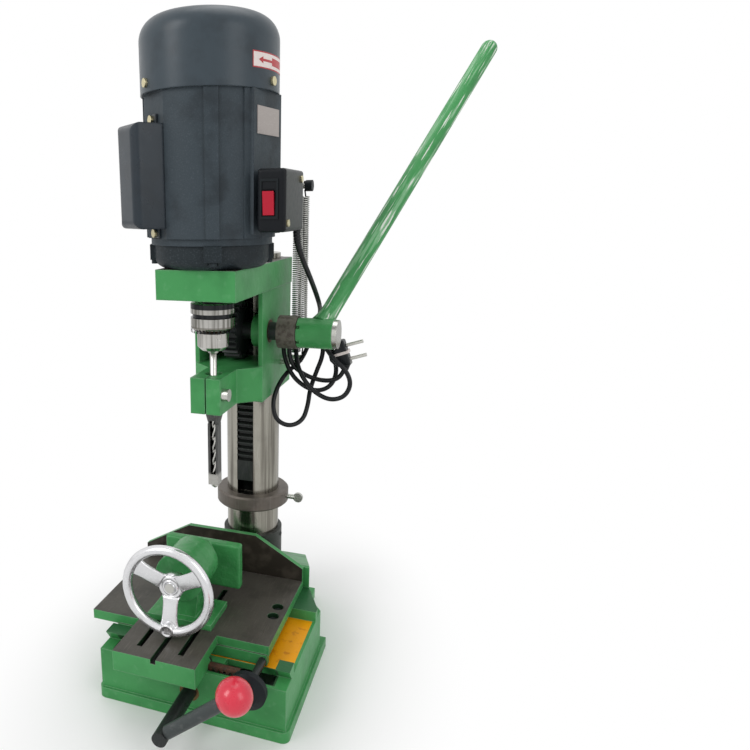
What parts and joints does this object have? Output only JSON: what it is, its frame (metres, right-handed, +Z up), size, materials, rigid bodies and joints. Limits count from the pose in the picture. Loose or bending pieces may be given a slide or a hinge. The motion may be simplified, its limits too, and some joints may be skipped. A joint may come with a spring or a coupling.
{
  "type": "benchtop mortiser",
  "caption": "Benchtop mortiser: motor head with chuck and hollow chisel on a round column, feed lever, return springs, cross table with fence, clamp and handwheel.",
  "frame": {"origin": "on the flat underside of the foot, on the column's axis", "axes": "+Z up along the column, +X to the operator's right (feed lever side), the operator stands on the -Y side"},
  "size_m": [0.3826, 0.4909, 0.7208],
  "materials": {
    "green_paint": "gloss hammered paint",
    "motor_black": "crinkle paint",
    "cover_grey": "satin paint",
    "column_steel": "ground",
    "dark_steel": "oiled",
    "rusty_steel": "weathered",
    "bright_steel": "polished",
    "chuck_steel": "worn bright",
    "bronze": "satin",
    "aluminium": "polished",
    "plate": "satin",
    "zinc": "yellow zinc",
    "black_plastic": "satin",
    "grey_plastic": "satin",
    "red_plastic": "gloss",
    "cord_rubber": "matte",
    "copper_iron": "laminated"
  },
  "bodies": {
    "base": {"base_casting": "green_paint", "column": "column_steel", "feed_rack": "dark_steel", "column_sleeve": "dark_steel", "column_screws": "dark_steel", "spring_post": "dark_steel", "spring_bolts": "bright_steel", "spring_knob": "black_plastic", "traverse_bushes": "bronze"},
    "depth_stop": {"depth_collar": "rusty_steel"},
    "depth_screw": {"depth_thumb_screw": "dark_steel"},
    "head": {"head_casting": "green_paint", "feed_bushes": "bronze", "chisel_clamp_bolt": "bright_steel", "spring_pins": "bright_steel", "return_springs": "bright_steel", "motor_end_bell": "motor_black", "motor_housing": "motor_black", "motor_bolts": "dark_steel", "fan_cover": "cover_grey", "cover_screws": "zinc", "motor_stator": "copper_iron", "motor_bearings": "bright_steel", "capacitor_cover": "cover_grey", "capacitor": "grey_plastic", "name_plate": "plate", "switch_box": "black_plastic", "mortise_chisel": "bright_steel", "cord_gland": "black_plastic", "power_cord": "cord_rubber", "power_plug": "black_plastic"},
    "rocker": {"switch_rocker": "red_plastic"},
    "spindle": {"rotor": "bright_steel", "motor_fan": "grey_plastic", "chuck_body": "chuck_steel", "chuck_sleeve": "chuck_steel", "chuck_jaws": "dark_steel", "auger_bit": "bright_steel"},
    "feed_arm": {"feed_shaft": "bright_steel", "feed_pinion": "dark_steel", "feed_collar": "rusty_steel", "feed_hub": "green_paint", "hub_end_ring": "aluminium", "feed_lever": "green_paint"},
    "table": {"table_casting": "green_paint", "table_gib": "bright_steel", "table_rack": "dark_steel", "table_screws": "dark_steel", "lock_stud": "bright_steel", "fence": "green_paint"},
    "table_lock": {"lock_knob": "black_plastic"},
    "traverse": {"traverse_shaft": "dark_steel", "traverse_pinion": "dark_steel", "traverse_rod": "dark_steel", "traverse_ball": "red_plastic"},
    "clamp_carriage": {"clamp_bracket": "green_paint", "clamp_bolts": "bright_steel"},
    "jaw": {"clamp_jaw": "green_paint"},
    "clamp_wheel": {"clamp_screw": "bright_steel", "clamp_handwheel": "aluminium"}
  },
  "joints": [
    {"name": "head_slide", "type": "slide", "parent": "base", "child": "head", "axis": [0, 0, -1], "range_m": [0, 0.064], "stiffness_N_per_m": 500, "springref_m": -0.6, "deforming": ["return_springs"]},
    {"name": "feed_turn", "type": "hinge", "parent": "head", "child": "feed_arm", "pos_m": [0, -0.06, 0.394], "axis": [1, 0, 0], "range_deg": [0, 123]},
    {"name": "spindle_turn", "type": "hinge", "parent": "head", "child": "spindle", "pos_m": [0, -0.1335, 0.4], "axis": [0, 0, 1], "continuous": true},
    {"name": "rocker_tilt", "type": "hinge", "parent": "head", "child": "rocker", "pos_m": [0.07285, -0.1785, 0.531], "axis": [1, 0, 0], "range_deg": [-10, 0]},
    {"name": "stop_slide", "type": "slide", "parent": "base", "child": "depth_stop", "axis": [0, 0, 1], "range_m": [-0.026, 0.018]},
    {"name": "stop_screw_turn", "type": "hinge", "parent": "depth_stop", "child": "depth_screw", "pos_m": [0.04, 0, 0.173], "axis": [1, 0, 0], "range_deg": [-180, 0]},
    {"name": "table_slide", "type": "slide", "parent": "base", "child": "table", "axis": [1, 0, 0], "range_m": [-0.055, 0.012]},
    {"name": "traverse_turn", "type": "hinge", "parent": "base", "child": "traverse", "pos_m": [0, -0.283, 0.032], "axis": [0, -1, 0], "range_deg": [-26, 117]},
    {"name": "lock_turn", "type": "hinge", "parent": "table", "child": "table_lock", "pos_m": [0.071, -0.235, 0.066], "axis": [0, -1, 0], "range_deg": [-180, 0]},
    {"name": "carriage_slide", "type": "slide", "parent": "table", "child": "clamp_carriage", "axis": [0, 1, 0], "range_m": [-0.04, 0.044]},
    {"name": "jaw_slide", "type": "slide", "parent": "clamp_carriage", "child": "jaw", "axis": [0, 1, 0], "range_m": [-0.0071, 0.0081]},
    {"name": "wheel_turn", "type": "hinge", "parent": "jaw", "child": "clamp_wheel", "pos_m": [-0.0269, -0.206, 0.139], "axis": [0, 1, 0], "range_deg": [-840, 960]}
  ],
  "couplings": [
    {"joint": "feed_turn", "follows": "head_slide", "rad_per_m": 33.333},
    {"joint": "traverse_turn", "follows": "table_slide", "rad_per_m": -37.037},
    {"joint": "jaw_slide", "follows": "wheel_turn", "m_per_rad": 0.00047746}
  ]
}
